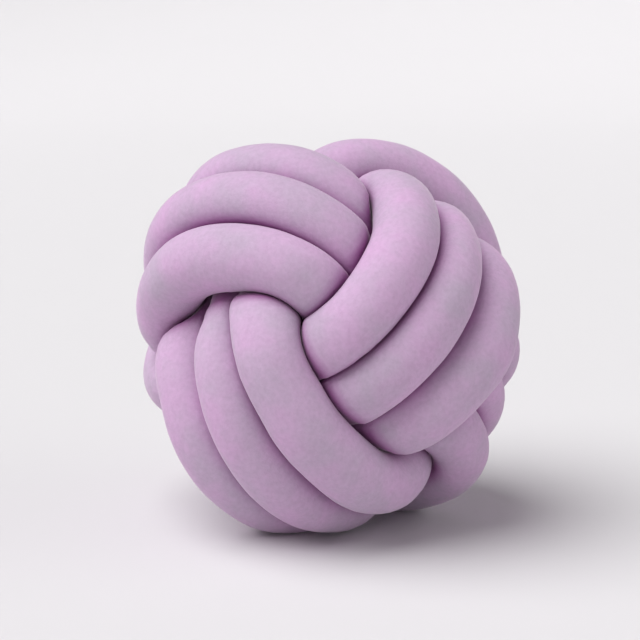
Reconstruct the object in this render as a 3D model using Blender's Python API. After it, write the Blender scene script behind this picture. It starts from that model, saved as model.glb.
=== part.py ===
"""Knot ball cushion.

One long stuffed tube of short plush, tied as a ball knot: three bands pass round one another at right
angles, and each band has three strands side by side. The tube is one closed loop, because its two ends
are sewn together in the middle of the ball.

Units are metres and +Z is up. The origin lies on the floor, under the middle of the ball's box.
"""
import math

import bpy
import numpy as np
from mathutils import Euler

MM = 0.001

# The tube
TUBE_DIAMETER = 44.5 * MM       # the stuffed tube where nothing presses on it
CONTACT_GAP = 3.0 * MM          # between two strands that touch, so that flat facets don't cut them
WIDEST_SWELL = 1.35             # how far a pressed strand may swell, times its free radius

# How the ball stands
BALL_HEIGHT = 127.5 * MM        # centre above the floor, less than its radius: the lowest strands lie flat
BALL_TURN = (28.0, 37.0, -116.0)    # degrees about X, Y and Z, from the knot's own axes

# How a band runs round the ball. Angles are degrees from the middle of an outer face, the distances mm:
# the middle and outer strands' distance from the ball's centre, and the outer strands' from the middle one.
BAND = (
    # angle, middle, outer, spread
    (0, 116, 119, 43),
    (20, 115, 118, 42),
    (38, 106, 105, 37),
    (52, 90, 89, 36),
    (66, 75, 74, 34),
    (90, 65, 63, 34),
)

# From the last strand of a band through the ball's core to the first strand of the next, in mm.
CORE = (
    (-63, 32, -36),
    (-50, 13, -33),
    (-32, 0, -29),
    (-6, -4, -21),
    (19, -13, -8),
    (32, -32, -2),
    (34, -50, -13),
    (36, -63, -32),
)

# How far the strands lie off their even places, in mm: sideways and outward, at the start, the middle and
# the end of the arc over a face. Strands that aren't named lie evenly.
LAY = (
    # face, strand, side_start, side_middle, side_end, lift_start, lift_middle, lift_end
    ("+Z", 1, -5, -11, -9, 0, 1, -2),
    ("+Z", 2, 3, -6, 4, 1, 9, 2),
    ("+Z", 3, 5, 0, 3, -10, 7, 0),
    ("+Y", 1, -3, -7, 5, -5, -5, -1),
    ("+Y", 2, 7, 2, 5, -1, -3, -7),
    ("+Y", 3, 4, -5, 9, -3, -2, 1),
    ("+X", 1, 4, 5, -4, 2, -2, 15),
    ("+X", 2, 13, 2, -9, -9, 2, 3),
    ("+X", 3, -2, 7, 2, -3, 1, 8),
    ("-X", 1, 9, 19, -7, 5, 9, 7),
    ("-X", 2, 6, 13, -3, 3, 6, 4),
    ("-X", 3, 3, 7, 0, 2, 3, 2),
    ("-Y", 1, -1, -2, 7, -4, 0, -7),
    ("-Z", 1, 1, -10, -2, 1, 4, 0),
    ("-Z", 2, -1, -4, 1, 2, -3, 1),
    ("-Z", 3, -2, -2, -1, 0, 0, 3),
)
ARC_HALF = 46.0                 # degrees from the middle of a face to the start or end of its arc
ARC_FADE = 24.0                 # degrees past the arc in which a strand comes back to its even place

BANDS = 3
TURNS = 3
FIRST_FACE = {"-Y": (0, 0), "+Y": (0, 1), "-Z": (1, 0), "+Z": (1, 1), "-X": (2, 0), "+X": (2, 1)}
BAND_ENDS = 48.0                # degrees past the middle of a face at which a band begins and ends
SHIFT_AT = 90.0                 # degrees: the hidden side where the tube moves over to its next place
SHIFT_HALF = 42.0               # degrees to each side of it that the move takes
ROUTE_STEP = 4.0                # degrees between the points of a band's route
EASE_PASSES = 14                # rounds of averaging that ease the route's corners

# The mesh
ROUTE_POINTS = 1680             # fine points of the centre line
SECTIONS = 440
STRAIGHT_STEP = 30 * MM         # a section for each such length of tube
BEND_STEP = 0.7                 # and one more for each such bend, in radians
BEVEL_RESOLUTION = 4
SIDES = 2 * BEVEL_RESOLUTION + 4
OWN_LENGTH = 92 * MM            # a strand doesn't press on itself nearer than this along the tube
PRESS_REACH = 110 * MM          # strands further off than this don't press
FAR = 1.0                       # a distance that stands for nothing in the way

# How the pressed tube rounds itself out, in small steps
SETTLE_ROUNDS = 160
EVEN_OUT = 2.2 * MM**2          # how far bends in the cloth spread in one step
SWELL_GROWTH = 0.03             # what a section's missing girth adds to its swelling, in one step
SWELL_SHARE = 0.25              # what it adds at once
MOST_SWELL = 0.4 * MM           # the most that a section swells in one step

PLUSH_COLOUR = (0.63, 0.46, 0.63, 1.0)
PLUSH_ROUGHNESS = 0.95


def ease(t):
    """Goes from 0 to 1 with level ends."""
    t = np.clip(t, 0.0, 1.0)
    return t * t * (3.0 - 2.0 * t)


def band_value(angle, column):
    """One column of BAND, in metres, at any angle: the four quarters of a turn are alike."""
    quarter = np.minimum(angle % 180.0, 180.0 - angle % 180.0)
    angles = [row[0] for row in BAND]
    values = [row[column] * MM for row in BAND]
    return np.interp(quarter, angles, values)


def place_in_band(angle):
    """1 for the first strand of a band, 0 for the middle one and -1 for the last."""
    place = np.ones_like(angle)
    for turn in range(1, TURNS):
        start = 360.0 * turn + SHIFT_AT - SHIFT_HALF
        place -= ease((angle - start) / (2.0 * SHIFT_HALF))
    return place


def arc_value(offset, start, middle, end):
    """A value that passes through three given ones over a face's arc and fades to nothing beyond it."""
    x = np.clip(offset / ARC_HALF, -1.8, 1.8)
    bow = (start + end) / 2.0 - middle
    lean = (end - start) / 2.0
    fade = ease((ARC_HALF + ARC_FADE - np.abs(offset)) / ARC_FADE)
    return (bow * x * x + lean * x + middle) * fade * MM


def band_route(band):
    """The centre line of one band's turns, in the first band's axes: long axis Y, plane XY."""
    first = 180.0 - BAND_ENDS
    last = 360.0 * TURNS + BAND_ENDS
    angle = np.arange(first, last + 1.0, ROUTE_STEP)
    place = place_in_band(angle)
    side = place * band_value(angle, 3)
    middle = band_value(angle, 1)
    reach = middle + (band_value(angle, 2) - middle) * np.abs(place)
    for face, strand, *lay in LAY:
        face_band, half_turn = FIRST_FACE[face]
        if face_band == band:
            offset = angle - 180.0 * (half_turn + 1) - 360.0 * (strand - 1)
            side += arc_value(offset, *lay[:3])
            reach += arc_value(offset, *lay[3:])
    radius = np.sqrt(reach**2 - side**2)
    turn = np.radians(angle)
    return np.stack([-radius * np.sin(turn), radius * np.cos(turn), side], axis=1)


def next_band(points, steps):
    """The bands follow one another by a third of a turn about the ball's diagonal: X to Y to Z."""
    return np.roll(points, steps, axis=1)


def even_points(points, count):
    """Points evenly spaced along a closed line, and its length."""
    closed = np.vstack([points, points[:1]])
    steps = np.linalg.norm(np.diff(closed, axis=0), axis=1)
    along = np.concatenate([[0.0], np.cumsum(steps)])
    wanted = np.linspace(0.0, along[-1], count, endpoint=False)
    even = np.stack([np.interp(wanted, along, closed[:, axis]) for axis in range(3)], axis=1)
    return even, along[-1]


def section_places(route):
    """Where the sections lie along the route, as positions in its list: closer together in bends."""
    steps = np.roll(route, -1, axis=0) - route
    lengths = np.linalg.norm(steps, axis=1)
    ahead = steps / lengths[:, None]
    bends = np.linalg.norm(np.roll(ahead, -1, axis=0) - ahead, axis=1)
    share = lengths / STRAIGHT_STEP + bends / BEND_STEP
    total = np.concatenate([[0.0], np.cumsum(share)])
    wanted = np.linspace(0.0, total[-1], SECTIONS, endpoint=False)
    return np.interp(wanted, total, np.arange(len(route) + 1))


def at_places(route, places):
    """The points of the closed route at positions in its list."""
    closed = np.vstack([route, route[:1]])
    whole = np.arange(len(closed))
    return np.stack([np.interp(places, whole, closed[:, axis]) for axis in range(3)], axis=1)


def tube_route():
    """The whole closed centre line in world axes, with the ball's centre at its height over the floor."""
    core = np.array(CORE) * MM
    pieces = []
    for band in range(BANDS):
        pieces.append(next_band(band_route(band), band))
        pieces.append(next_band(core, band))
    route, _ = even_points(np.vstack(pieces), ROUTE_POINTS)
    for _ in range(EASE_PASSES):
        route = (np.roll(route, 1, axis=0) + 2.0 * route + np.roll(route, -1, axis=0)) / 4.0
    turn = np.array(Euler([math.radians(a) for a in BALL_TURN]).to_matrix())
    route, length = even_points(route @ turn.T, ROUTE_POINTS)
    return route + np.array([0.0, 0.0, BALL_HEIGHT]), length


def bevelled_tube(centres):
    """A plain round tube round a closed line, as a mesh object, with its vertices ring by ring."""
    curve = bpy.data.curves.new("centre_line", "CURVE")
    curve.dimensions = "3D"
    curve.bevel_depth = TUBE_DIAMETER / 2.0
    curve.bevel_resolution = BEVEL_RESOLUTION
    spline = curve.splines.new("POLY")
    spline.points.add(len(centres) - 1)
    for point, centre in zip(spline.points, centres):
        point.co = (*centre, 1.0)
    spline.use_cyclic_u = True
    guide = bpy.data.objects.new("centre_line", curve)
    mesh = bpy.data.meshes.new_from_object(guide)
    bpy.data.objects.remove(guide)
    bpy.data.curves.remove(curve)
    return mesh


def free_way(centre, place, rays, route, length):
    """How far each ray of a section can go before it meets the plane halfway to another strand."""
    count = len(route)
    apart = np.abs(np.arange(count) - place)
    apart = np.minimum(apart, count - apart) * length / count
    towards = route - centre
    distance = np.linalg.norm(towards, axis=1)
    pressing = (apart > OWN_LENGTH) & (distance < PRESS_REACH)
    if not pressing.any():
        return np.full(len(rays), FAR)
    towards, distance = towards[pressing], distance[pressing]
    facing = rays @ towards.T
    halfway = (distance**2 - CONTACT_GAP * distance) / 2.0
    reach = np.where(facing > 1e-6, halfway / np.maximum(facing, 1e-6), FAR)
    return reach.min(axis=1)


def settle(centres, rays, free):
    """Lets the filling round the pressed strands out. The cloth pulls even over the tube, and every section
    swells until its girth is the free tube's again, or it is as wide as it may get."""
    free_radius = TUBE_DIAMETER / 2.0
    side = 2.0 * math.sin(math.pi / SIDES) * free_radius
    ahead = np.linalg.norm(np.roll(centres, -1, axis=0) - centres, axis=1)[:, None, None]
    behind = np.roll(ahead, 1, axis=0)
    radii = np.minimum(free, free_radius)
    swell = np.zeros(len(centres))
    for _ in range(SETTLE_ROUNDS):
        points = centres[:, None] + rays * radii[..., None]
        around = (np.roll(points, 1, axis=1) + np.roll(points, -1, axis=1) - 2.0 * points) / side**2
        steps = (np.roll(points, -1, axis=0) - points) / ahead
        along = steps - np.roll(steps, 1, axis=0)
        pull = EVEN_OUT * ((around + 2.0 * along / (ahead + behind)) * rays).sum(axis=2)
        girth = np.linalg.norm(np.roll(points, 1, axis=1) - points, axis=2).sum(axis=1)
        missing = (SIDES * side - girth) / (2.0 * math.pi)
        swell = np.clip(swell + SWELL_GROWTH * missing, 0.0, MOST_SWELL)
        swell = (np.roll(swell, 1) + 2.0 * swell + np.roll(swell, -1)) / 4.0
        radii += pull + (swell + SWELL_SHARE * missing)[:, None]
        radii = np.minimum(np.clip(radii, 0.2 * free_radius, WIDEST_SWELL * free_radius), free)
    return radii


def press_tube(mesh, places, centres, route, length):
    """Presses the round tube against its own strands and against the floor."""
    rings = np.empty(len(mesh.vertices) * 3)
    mesh.vertices.foreach_get("co", rings)
    rings = rings.reshape(len(centres), SIDES, 3)
    rays = rings - centres[:, None]
    rays /= np.linalg.norm(rays, axis=2)[..., None]
    free = np.array([
        free_way(centre, place, ring_rays, route, length)
        for centre, place, ring_rays in zip(centres, places, rays)
    ])
    down = np.maximum(-rays[..., 2], 1e-6)
    free = np.minimum(free, centres[:, 2, None] / down)
    radii = settle(centres, rays, free)
    rings = centres[:, None] + rays * radii[..., None]
    box_middle = (rings.min(axis=(0, 1)) + rings.max(axis=(0, 1))) / 2.0
    rings[..., :2] -= box_middle[:2]
    rings[..., 2] = np.where(rings[..., 2] < 1e-6, 0.0, rings[..., 2])
    mesh.vertices.foreach_set("co", rings.ravel())
    mesh.update()


def plush_material():
    """Lilac short plush: dull, with no gloss."""
    material = bpy.data.materials.new("lilac_plush")
    material.use_nodes = True
    shader = material.node_tree.nodes["Principled BSDF"]
    shader.inputs["Base Color"].default_value = PLUSH_COLOUR
    shader.inputs["Roughness"].default_value = PLUSH_ROUGHNESS
    shader.inputs["Metallic"].default_value = 0.0
    return material


def stuffed_tube():
    """The one piece of the cushion."""
    route, length = tube_route()
    places = section_places(route)
    centres = at_places(route, places)
    mesh = bevelled_tube(centres)
    press_tube(mesh, places, centres, route, length)
    mesh.shade_smooth()
    mesh.materials.clear()
    mesh.materials.append(plush_material())
    piece = bpy.data.objects.new("stuffed_tube", mesh)
    bpy.context.scene.collection.objects.link(piece)
    return piece


def main():
    for old in list(bpy.data.objects):
        bpy.data.objects.remove(old)
    stuffed_tube()


main()
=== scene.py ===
"""The looks of the knot ball cushion: one long stuffed tube of lilac short plush, tied as a ball knot.

Units are metres and +Z is up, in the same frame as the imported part. The tube follows the route that the
part's source gives it, with finer sections, strands that all but touch and uneven stuffing.
"""
import math

import bmesh
import bpy
import numpy as np
from mathutils import Euler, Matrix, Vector, noise


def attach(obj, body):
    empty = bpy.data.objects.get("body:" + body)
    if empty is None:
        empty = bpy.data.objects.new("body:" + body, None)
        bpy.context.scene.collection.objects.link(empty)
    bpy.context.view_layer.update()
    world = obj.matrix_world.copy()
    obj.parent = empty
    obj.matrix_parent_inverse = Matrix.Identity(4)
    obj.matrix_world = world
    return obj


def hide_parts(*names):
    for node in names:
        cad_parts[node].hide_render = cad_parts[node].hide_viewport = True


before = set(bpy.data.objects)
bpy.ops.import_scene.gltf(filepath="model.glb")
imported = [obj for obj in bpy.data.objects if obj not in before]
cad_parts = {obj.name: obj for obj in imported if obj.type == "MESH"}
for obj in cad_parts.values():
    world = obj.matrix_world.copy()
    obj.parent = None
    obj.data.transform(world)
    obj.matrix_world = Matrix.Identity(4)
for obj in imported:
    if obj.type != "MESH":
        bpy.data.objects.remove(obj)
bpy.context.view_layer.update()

MM = 0.001

# The tube, as the part has it.
TUBE_DIAMETER = 44.5 * MM
CONTACT_GAP = 0.6 * MM          # the cloth of two strands all but touches
WIDEST_SWELL = 1.35             # how far a pressed strand may swell, times its free radius
BALL_HEIGHT = 127.5 * MM        # the ball's centre above the floor
BALL_TURN = (28.0, 37.0, -116.0)    # degrees about X, Y and Z, from the knot's own axes

# How a band runs round the ball, as in the part: degrees from the middle of an outer face, then the middle
# and outer strands' distance from the ball's centre and the outer strands' from the middle one, in mm.
BAND = (
    (0, 116, 119, 43),
    (20, 115, 118, 42),
    (38, 106, 105, 37),
    (52, 90, 89, 36),
    (66, 75, 74, 34),
    (90, 65, 63, 34),
)

# From the last strand of a band through the ball's core to the first strand of the next, in mm.
CORE = (
    (-63, 32, -36),
    (-50, 13, -33),
    (-32, 0, -29),
    (-6, -4, -21),
    (19, -13, -8),
    (32, -32, -2),
    (34, -50, -13),
    (36, -63, -32),
)

# How far the strands lie off their even places, in mm: sideways and outward, at the start, the middle and
# the end of the arc over a face. Strands that aren't named lie evenly.
LAY = (
    # face, strand, then sideways three times and outward three times
    ("+Z", 1, -5, -11, -9, 0, 1, -2),
    ("+Z", 2, 3, -6, 4, 1, 9, 2),
    ("+Z", 3, 5, 0, 3, -10, 7, 0),
    ("+Y", 1, -3, -7, 5, -5, -5, -1),
    ("+Y", 2, 7, 2, 5, -1, -3, -7),
    ("+Y", 3, 4, -5, 9, -3, -2, 1),
    ("+X", 1, 4, 5, -4, 2, -2, 15),
    ("+X", 2, 13, 2, -9, -9, 2, 3),
    ("+X", 3, -2, 7, 2, -3, 1, 8),
    ("-X", 1, 9, 19, -7, 5, 9, 7),
    ("-X", 2, 6, 13, -3, 3, 6, 4),
    ("-X", 3, 3, 7, 0, 2, 3, 2),
    ("-Y", 1, -1, -2, 7, -4, 0, -7),
    ("-Z", 1, 1, -10, -2, 1, 4, 0),
    ("-Z", 2, -1, -4, 1, 2, -3, 1),
    ("-Z", 3, -2, -2, -1, 0, 0, 3),
)
ARC_HALF = 46.0                 # degrees from a face's middle to where LAY's start and end values hold
ARC_FADE = 24.0                 # degrees past that over which they fade to nothing
BANDS = 3
TURNS = 3                       # of each band, which makes its strands

# Which band crosses each face of the knot, and in which half of a turn
FIRST_FACE = {"-Y": (0, 0), "+Y": (0, 1), "-Z": (1, 0), "+Z": (1, 1), "-X": (2, 0), "+X": (2, 1)}
BAND_ENDS = 48.0                # degrees past the middle of a face at which a band begins and ends
SHIFT_AT = 90.0                 # degrees past a whole turn at which a strand moves over to its next place
SHIFT_HALF = 42.0               # degrees before and after that in which it moves
ROUTE_STEP = 4.0                # degrees between the points of a band
ROUTE_POINTS = 1680
EASE_PASSES = 14                # rounds of easing the route's corners

# The fine mesh
SECTIONS = 1600
BEVEL_RESOLUTION = 20
SIDES = 2 * BEVEL_RESOLUTION + 4

# Which stretches of the tube press on one another
OWN_LENGTH = 92 * MM            # not those closer than this along the tube
PRESS_REACH = 110 * MM          # nor those farther apart than this
FAR = 1.0                       # how far a ray goes that meets nothing
TINY = 1e-6

# How the pressed tube rounds itself out, in small steps
SETTLE_ROUNDS = 160
EVEN_OUT = 2.2 * MM**2          # how far bends in the cloth spread in one step
SWELL_GROWTH = 0.03             # what a section's missing girth adds to its swelling, in one step
SWELL_SHARE = 0.25              # the share of the missing girth that is made up at once, in one step
MOST_SWELL = 0.4 * MM           # the most that the swelling adds in one step
NARROWEST = 0.2                 # how thin a pressed strand may get, times its free radius

# The plush
LILAC = "CCA8CB"
BRUSHED_LILAC = "BDA9C0"        # greyer, where the pile has been stroked against its lie
# painted shade: a plum darkening laid on near touching strands, in place of the shade in the creases
CREASE_SHADE_PLUM = "963A8C"
RIM_COLOUR = "EAE4E8"
RIM_SHEEN = 0.45                # the soft light rim of pile that is seen from its side
RIM_ROUGHNESS = 0.3
PILE_ROUGHNESS = 0.92
PILE_SPECULAR = 0.1
CREASE_SHADE_DEPTH = 2.0 * MM         # how far from a touching strand the painted crease shade reaches
CREASE_SHADE_SHARE = 0.7              # the share of painted plum shade where strands touch
BRUSHED_PATCH = 40 * MM
BRUSHED_RANGE = (0.32, 0.68)    # the noise between which a patch goes from lilac to greyer
PILE_FLECK = 3.2 * MM           # clumps of pile that lie alike
FLECK_RANGE = (0.3, 0.7)        # the noise between which a fleck goes from dark to light
FLECK_SHADES = (0.93, 1.05)     # how dark and how light, times the colour
PILE_TUFT = 1.6 * MM            # real tufts are some 0.5 mm apart, too fine to show
TUFT_HEIGHT = 0.6 * MM
TUFT_STRENGTH = 0.35

# Stuffing: broad lumps of filling and the small unevenness of the cloth over them
LUMP_SIZE = 38 * MM
LUMP_HEIGHT = 0.7 * MM
DIMPLE_SIZE = 11 * MM
DIMPLE_HEIGHT = 0.16 * MM
FLAT_BELOW = 6 * MM             # the lumps fade away over this height above the floor

# The studio's lights: degrees round from the camera, minus to the left, then above the floor, then strength
MAIN_LIGHT = (-70.0, 60.0, 3.3)
FILL_LIGHT = (80.0, 16.0, 1.0)
LIGHT_WIDTH = 60.0              # how broad each light is, in degrees
SURROUNDINGS = 0.18             # the strength of the white light from all round

# The studio floor
FLOOR_COLOUR = "D9D7D9"
FLOOR_ROUGHNESS = 0.9
FLOOR_RADIUS = 4.0
FLOOR_SIDES = 96
FLOOR_TURN = 3.0                # the radius of the turn up round its edge
FLOOR_STEPS = 10
FLOOR_DROP = 0.2 * MM           # keeps the floor clear of the cushion's flat spot

# Camera, fitted to the photograph
CAMERA_ELEVATION = 11.0         # degrees
CAMERA_DISTANCE = 1.235
LENS = 100.0                    # mm
SENSOR = 36.0                   # mm
IMAGE_SIDE = 640
BALL_PIXEL = (327.0, 337.6)     # where the ball's centre is in the photograph


def ease(t):
    """Goes from 0 to 1 with level ends."""
    t = np.clip(t, 0.0, 1.0)
    return t * t * (3.0 - 2.0 * t)


def band_value(angle, column):
    """One column of BAND, in metres, at any angle: the four quarters of a turn are alike."""
    quarter = np.minimum(angle % 180.0, 180.0 - angle % 180.0)
    angles = [row[0] for row in BAND]
    values = [row[column] * MM for row in BAND]
    return np.interp(quarter, angles, values)


def place_in_band(angle):
    """1 for the first strand of a band, 0 for the middle one and -1 for the last."""
    place = np.ones_like(angle)
    for turn in range(1, TURNS):
        start = 360.0 * turn + SHIFT_AT - SHIFT_HALF
        place -= ease((angle - start) / (2.0 * SHIFT_HALF))
    return place


def arc_value(offset, start, middle, end):
    """A value that passes through three given ones over a face's arc and fades to nothing beyond it."""
    x = offset / ARC_HALF
    bow = (start + end) / 2.0 - middle
    lean = (end - start) / 2.0
    fade = ease((ARC_HALF + ARC_FADE - np.abs(offset)) / ARC_FADE)
    return (bow * x * x + lean * x + middle) * fade * MM


def band_route(band):
    """The centre line of one band's turns, in the first band's axes: long axis Y, plane XY."""
    first = 180.0 - BAND_ENDS
    last = 360.0 * TURNS + BAND_ENDS
    angle = np.arange(first, last + 1.0, ROUTE_STEP)
    place = place_in_band(angle)
    side = place * band_value(angle, 3)
    middle = band_value(angle, 1)
    reach = middle + (band_value(angle, 2) - middle) * np.abs(place)
    for face, strand, *lay in LAY:
        face_band, half_turn = FIRST_FACE[face]
        if face_band == band:
            offset = angle - 180.0 * (half_turn + 1) - 360.0 * (strand - 1)
            side += arc_value(offset, *lay[:3])
            reach += arc_value(offset, *lay[3:])
    radius = np.sqrt(reach**2 - side**2)
    turn = np.radians(angle)
    return np.stack([-radius * np.sin(turn), radius * np.cos(turn), side], axis=1)


def next_band(points, steps):
    """The bands follow one another by a third of a turn about the ball's diagonal: X to Y to Z."""
    return np.roll(points, steps, axis=1)


def even_points(points, count):
    """Points evenly spaced along a closed line, and its length."""
    closed = np.vstack([points, points[:1]])
    steps = np.linalg.norm(np.diff(closed, axis=0), axis=1)
    along = np.concatenate([[0.0], np.cumsum(steps)])
    wanted = np.linspace(0.0, along[-1], count, endpoint=False)
    even = np.stack([np.interp(wanted, along, closed[:, axis]) for axis in range(3)], axis=1)
    return even, along[-1]


def at_places(route, places):
    """The points of the closed route at positions in its list."""
    closed = np.vstack([route, route[:1]])
    whole = np.arange(len(closed))
    return np.stack([np.interp(places, whole, closed[:, axis]) for axis in range(3)], axis=1)


def tube_route():
    """The whole closed centre line in world axes, with the ball's centre at its height over the floor."""
    core = np.array(CORE) * MM
    pieces = []
    for band in range(BANDS):
        pieces.append(next_band(band_route(band), band))
        pieces.append(next_band(core, band))
    route, _ = even_points(np.vstack(pieces), ROUTE_POINTS)
    for _ in range(EASE_PASSES):
        route = (np.roll(route, 1, axis=0) + 2.0 * route + np.roll(route, -1, axis=0)) / 4.0
    turn = np.array(Euler([math.radians(a) for a in BALL_TURN]).to_matrix())
    route, length = even_points(route @ turn.T, ROUTE_POINTS)
    return route + np.array([0.0, 0.0, BALL_HEIGHT]), length


def bevelled_tube(centres):
    """A plain round tube round a closed line, as a mesh, with its vertices ring by ring."""
    curve = bpy.data.curves.new("centre_line", "CURVE")
    curve.dimensions = "3D"
    curve.bevel_depth = TUBE_DIAMETER / 2.0
    curve.bevel_resolution = BEVEL_RESOLUTION
    spline = curve.splines.new("POLY")
    spline.points.add(len(centres) - 1)
    for point, centre in zip(spline.points, centres):
        point.co = (*centre, 1.0)
    spline.use_cyclic_u = True
    guide = bpy.data.objects.new("centre_line", curve)
    mesh = bpy.data.meshes.new_from_object(guide)
    bpy.data.objects.remove(guide)
    bpy.data.curves.remove(curve)
    return mesh


def free_way(centre, place, rays, route, length):
    """How far each ray of a section can go before it meets the plane halfway to another strand."""
    count = len(route)
    apart = np.abs(np.arange(count) - place)
    apart = np.minimum(apart, count - apart) * length / count
    towards = route - centre
    distance = np.linalg.norm(towards, axis=1)
    pressing = (apart > OWN_LENGTH) & (distance < PRESS_REACH)
    if not pressing.any():
        return np.full(len(rays), FAR)
    towards, distance = towards[pressing], distance[pressing]
    facing = rays @ towards.T
    halfway = (distance**2 - CONTACT_GAP * distance) / 2.0
    reach = np.where(facing > TINY, halfway / np.maximum(facing, TINY), FAR)
    return reach.min(axis=1)


def settle(centres, rays, free):
    """Lets the filling round the pressed strands out. The cloth pulls even over the tube, and every section
    swells until its girth is the free tube's again, or it is as wide as it may get."""
    free_radius = TUBE_DIAMETER / 2.0
    side = 2.0 * math.sin(math.pi / SIDES) * free_radius
    ahead = np.linalg.norm(np.roll(centres, -1, axis=0) - centres, axis=1)[:, None, None]
    behind = np.roll(ahead, 1, axis=0)
    radii = np.minimum(free, free_radius)
    swell = np.zeros(len(centres))
    for _ in range(SETTLE_ROUNDS):
        points = centres[:, None] + rays * radii[..., None]
        around = (np.roll(points, 1, axis=1) + np.roll(points, -1, axis=1) - 2.0 * points) / side**2
        steps = (np.roll(points, -1, axis=0) - points) / ahead
        along = steps - np.roll(steps, 1, axis=0)
        pull = EVEN_OUT * ((around + 2.0 * along / (ahead + behind)) * rays).sum(axis=2)
        girth = np.linalg.norm(np.roll(points, 1, axis=1) - points, axis=2).sum(axis=1)
        missing = (SIDES * side - girth) / (2.0 * math.pi)
        swell = np.clip(swell + SWELL_GROWTH * missing, 0.0, MOST_SWELL)
        swell = (np.roll(swell, 1) + 2.0 * swell + np.roll(swell, -1)) / 4.0
        radii += pull + (swell + SWELL_SHARE * missing)[:, None]
        radii = np.clip(radii, NARROWEST * free_radius, WIDEST_SWELL * free_radius)
        radii = np.minimum(radii, free)
    return radii


def press_tube(mesh, places, centres, route, length):
    """Presses the round tube against its own strands and against the floor. Returns the ball's centre."""
    rings = np.empty(len(mesh.vertices) * 3)
    mesh.vertices.foreach_get("co", rings)
    rings = rings.reshape(len(centres), SIDES, 3)
    rays = rings - centres[:, None]
    rays /= np.linalg.norm(rays, axis=2)[..., None]
    to_strands = np.array([
        free_way(centre, place, ring_rays, route, length)
        for centre, place, ring_rays in zip(centres, places, rays)
    ])
    down = np.maximum(-rays[..., 2], TINY)
    to_floor = centres[:, 2, None] / down
    radii = settle(centres, rays, np.minimum(to_strands, to_floor))
    rings = centres[:, None] + rays * radii[..., None]
    box_middle = (rings.min(axis=(0, 1)) + rings.max(axis=(0, 1))) / 2.0
    rings[..., :2] -= box_middle[:2]
    rings[..., 2] = np.where(rings[..., 2] < TINY, 0.0, rings[..., 2])
    mesh.vertices.foreach_set("co", rings.ravel())
    mesh.update()
    # Painted shade: how much plum crease shade goes on the plush, most where a strand touches another
    crease_shade = CREASE_SHADE_SHARE * np.exp(-(to_strands - radii) / CREASE_SHADE_DEPTH)
    mesh.attributes.new("crease_shade", "FLOAT", "POINT").data.foreach_set("value", crease_shade.ravel())
    return Vector((-box_middle[0], -box_middle[1], BALL_HEIGHT))


def linear(hex_colour):
    """An sRGB hex colour as linear RGBA."""
    values = [int(hex_colour[i:i + 2], 16) / 255.0 for i in (0, 2, 4)]
    return [v / 12.92 if v <= 0.04045 else ((v + 0.055) / 1.055) ** 2.4 for v in values] + [1.0]


def add_node(material, kind, settings=None, links=None):
    """Adds a node, sets its properties and inputs, and links inputs to other nodes' outputs."""
    node = material.node_tree.nodes.new(kind)
    for name, value in (settings or {}).items():
        if isinstance(name, str) and hasattr(node, name):
            setattr(node, name, value)
        else:
            node.inputs[name].default_value = value
    for name, output in (links or {}).items():
        material.node_tree.links.new(output, node.inputs[name])
    return node


def new_material(name):
    """An empty node material with its shader."""
    material = bpy.data.materials.new(name)
    material.use_nodes = True
    return material, material.node_tree.nodes["Principled BSDF"]


def short_plush():
    """Short knitted polyester plush, sheared to about 2 mm: dull, with a soft light rim where the pile is
    seen from its side, painted plum shade in the creases where strands touch, and faint greyer patches
    where it has been brushed against its lie."""
    material, shader = new_material("lilac_short_plush")
    shader.inputs["Roughness"].default_value = PILE_ROUGHNESS
    shader.inputs["Specular IOR Level"].default_value = PILE_SPECULAR
    shader.inputs["Sheen Weight"].default_value = RIM_SHEEN
    shader.inputs["Sheen Roughness"].default_value = RIM_ROUGHNESS
    shader.inputs["Sheen Tint"].default_value = linear(RIM_COLOUR)
    place = add_node(material, "ShaderNodeTexCoord").outputs["Object"]
    brushed = add_node(material, "ShaderNodeTexNoise",
                       {"Scale": 1.0 / BRUSHED_PATCH, "Detail": 3.0, "Roughness": 0.6}, {"Vector": place})
    lie = add_node(material, "ShaderNodeMapRange",
                   {"From Min": BRUSHED_RANGE[0], "From Max": BRUSHED_RANGE[1]},
                   {"Value": brushed.outputs["Fac"]})
    patches = add_node(material, "ShaderNodeMix",
                       {"data_type": "RGBA", 6: linear(LILAC), 7: linear(BRUSHED_LILAC)},
                       {0: lie.outputs[0]})
    flecks = add_node(material, "ShaderNodeTexNoise",
                      {"Scale": 1.0 / PILE_FLECK, "Detail": 3.0, "Roughness": 0.65}, {"Vector": place})
    shade = add_node(material, "ShaderNodeMapRange",
                     {"From Min": FLECK_RANGE[0], "From Max": FLECK_RANGE[1],
                      "To Min": FLECK_SHADES[0], "To Max": FLECK_SHADES[1]},
                     {"Value": flecks.outputs["Fac"]})
    mottled = add_node(material, "ShaderNodeVectorMath", {"operation": "SCALE"},
                       {0: patches.outputs[2], "Scale": shade.outputs[0]})
    # painted shade: plum is mixed into the colour near touching strands, in place of the shade in the creases
    crease_shade = add_node(material, "ShaderNodeAttribute", {"attribute_name": "crease_shade"})
    colour = add_node(material, "ShaderNodeMix", {"data_type": "RGBA", 7: linear(CREASE_SHADE_PLUM)},
                      {0: crease_shade.outputs["Fac"], 6: mottled.outputs[0]})
    pile = add_node(material, "ShaderNodeTexNoise",
                    {"Scale": 1.0 / PILE_TUFT, "Detail": 2.0, "Roughness": 0.6}, {"Vector": place})
    bump = add_node(material, "ShaderNodeBump", {"Strength": TUFT_STRENGTH, "Distance": TUFT_HEIGHT},
                    {"Height": pile.outputs["Fac"]})
    material.node_tree.links.new(colour.outputs[2], shader.inputs["Base Color"])
    material.node_tree.links.new(bump.outputs["Normal"], shader.inputs["Normal"])
    return material


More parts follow.
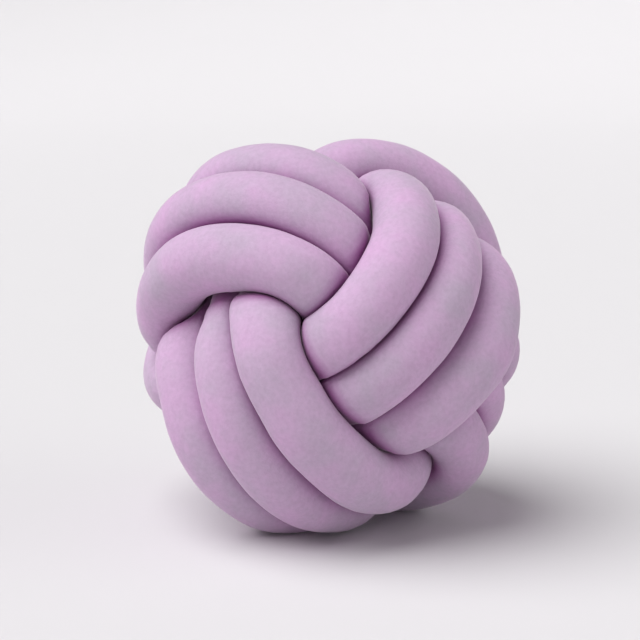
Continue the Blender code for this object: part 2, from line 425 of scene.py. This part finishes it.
def uneven_stuffing(mesh):
    """Moves the cloth in and out a little over lumps of filling, but not where it is pressed."""
    points = np.empty(len(mesh.vertices) * 3)
    mesh.vertices.foreach_get("co", points)
    points = points.reshape(-1, 3)
    normals = np.empty(len(mesh.vertices) * 3)
    mesh.vertices.foreach_get("normal", normals)
    normals = normals.reshape(-1, 3)
    push = np.array([
        LUMP_HEIGHT * noise.noise(Vector(point) / LUMP_SIZE)
        + DIMPLE_HEIGHT * noise.noise(Vector(point) / DIMPLE_SIZE)
        for point in points
    ])
    crease_shade = np.empty(len(mesh.vertices))
    mesh.attributes["crease_shade"].data.foreach_get("value", crease_shade)
    # the painted crease shade also marks where strands press, so no lumps go there
    push *= (1.0 - crease_shade / CREASE_SHADE_SHARE) * ease(points[:, 2] / FLAT_BELOW)
    points += normals * push[:, None]
    mesh.vertices.foreach_set("co", points.ravel())
    mesh.update()


def stuffed_tube():
    """The one piece of the cushion. Returns the ball's centre."""
    route, length = tube_route()
    places = np.linspace(0.0, len(route), SECTIONS, endpoint=False)
    centres = at_places(route, places)
    mesh = bevelled_tube(centres)
    ball_centre = press_tube(mesh, places, centres, route, length)
    uneven_stuffing(mesh)
    mesh.shade_smooth()
    mesh.materials.clear()
    mesh.materials.append(short_plush())
    piece = bpy.data.objects.new("plush_tube", mesh)
    bpy.context.scene.collection.objects.link(piece)
    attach(piece, "root")
    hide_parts("stuffed_tube")
    return ball_centre


def studio_floor():
    """A pale matt floor that turns up all round, far away, so that no edge of it shows."""
    shape = bmesh.new()
    bmesh.ops.create_circle(shape, cap_ends=True, segments=FLOOR_SIDES, radius=FLOOR_RADIUS)
    rim = list(shape.edges)
    for step in range(1, FLOOR_STEPS + 1):
        turn = math.radians(90.0 * step / FLOOR_STEPS)
        out = FLOOR_RADIUS + FLOOR_TURN * math.sin(turn)
        up = FLOOR_TURN * (1.0 - math.cos(turn))
        grown = bmesh.ops.extrude_edge_only(shape, edges=rim)["geom"]
        rim = [part for part in grown if isinstance(part, bmesh.types.BMEdge)]
        for vert in (part for part in grown if isinstance(part, bmesh.types.BMVert)):
            flat = Vector((vert.co.x, vert.co.y, 0.0)).normalized() * out
            vert.co = (flat.x, flat.y, up)
    bmesh.ops.recalc_face_normals(shape, faces=shape.faces)
    bmesh.ops.translate(shape, verts=shape.verts, vec=(0.0, 0.0, -FLOOR_DROP))
    mesh = bpy.data.meshes.new("studio_floor")
    shape.to_mesh(mesh)
    shape.free()
    mesh.shade_smooth()
    material, shader = new_material("pale_matt_board")
    shader.inputs["Base Color"].default_value = linear(FLOOR_COLOUR)
    shader.inputs["Roughness"].default_value = FLOOR_ROUGHNESS
    mesh.materials.append(material)
    floor = bpy.data.objects.new("studio_floor", mesh)
    bpy.context.scene.collection.objects.link(floor)


def broad_light(name, side, height, strength):
    """A broad, far light, placed in degrees round from the camera and above the floor."""
    light = bpy.data.lights.new(name, "SUN")
    light.energy = strength
    light.angle = math.radians(LIGHT_WIDTH)
    lamp = bpy.data.objects.new(name, light)
    side, height = math.radians(side), math.radians(height)
    source = Vector((math.sin(side) * math.cos(height), -math.cos(side) * math.cos(height), math.sin(height)))
    lamp.rotation_euler = (-source).to_track_quat("-Z", "Y").to_euler()
    bpy.context.scene.collection.objects.link(lamp)


def studio():
    """Plain soft studio light: a broad light from the left, a weak one from the right and bright walls."""
    world = bpy.data.worlds.new("studio")
    world.use_nodes = True
    background = world.node_tree.nodes["Background"]
    background.inputs["Color"].default_value = linear("FFFFFF")
    background.inputs["Strength"].default_value = SURROUNDINGS
    bpy.context.scene.world = world
    bpy.context.scene.view_settings.view_transform = "Standard"
    broad_light("main_light", *MAIN_LIGHT)
    broad_light("fill_light", *FILL_LIGHT)


def camera(ball_centre):
    """Looks at the ball from the photograph's height and side."""
    lens = bpy.data.cameras.new("camera")
    lens.lens = LENS
    lens.sensor_width = SENSOR
    lens.shift_x = (IMAGE_SIDE / 2 - BALL_PIXEL[0]) / IMAGE_SIDE
    lens.shift_y = (BALL_PIXEL[1] - IMAGE_SIDE / 2) / IMAGE_SIDE
    eye = bpy.data.objects.new("camera", lens)
    tilt = math.radians(CAMERA_ELEVATION)
    back = Vector((0.0, -math.cos(tilt), math.sin(tilt)))
    eye.location = ball_centre + back * CAMERA_DISTANCE
    eye.rotation_euler = (math.pi / 2.0 - tilt, 0.0, 0.0)
    bpy.context.scene.collection.objects.link(eye)
    bpy.context.scene.camera = eye


ball_centre = stuffed_tube()
studio_floor()
studio()
camera(ball_centre)
